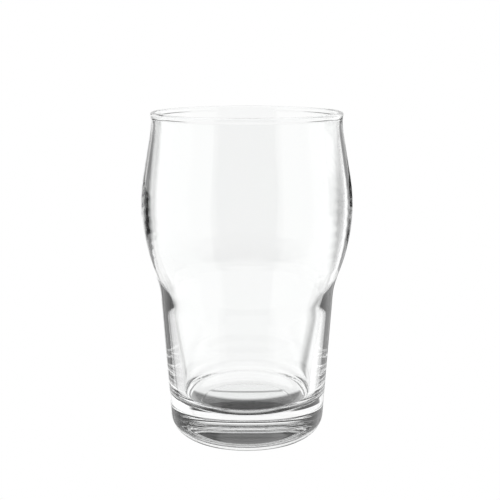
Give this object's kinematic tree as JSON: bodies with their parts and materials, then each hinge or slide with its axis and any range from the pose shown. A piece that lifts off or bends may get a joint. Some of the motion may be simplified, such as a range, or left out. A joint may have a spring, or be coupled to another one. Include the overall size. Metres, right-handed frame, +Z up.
{
  "type": "pint glass",
  "caption": "Clear drinking glass with a thick solid base, a tapered lower wall, a full bulge above it and a narrower mouth with a rounded bead.",
  "frame": {"origin": "on the axis of the glass, on the flat plane that it stands on", "axes": "+Z up along the axis, from the foot to the rim; the glass is a solid of revolution, so +X and +Y are any two directions at right angles to it"},
  "size_m": [0.093, 0.093, 0.145],
  "materials": {
    "clear_glass": "clear, smooth, fire-polished soda-lime glass"
  },
  "bodies": {
    "root": {"glass_body": "clear_glass"}
  },
  "joints": []
}
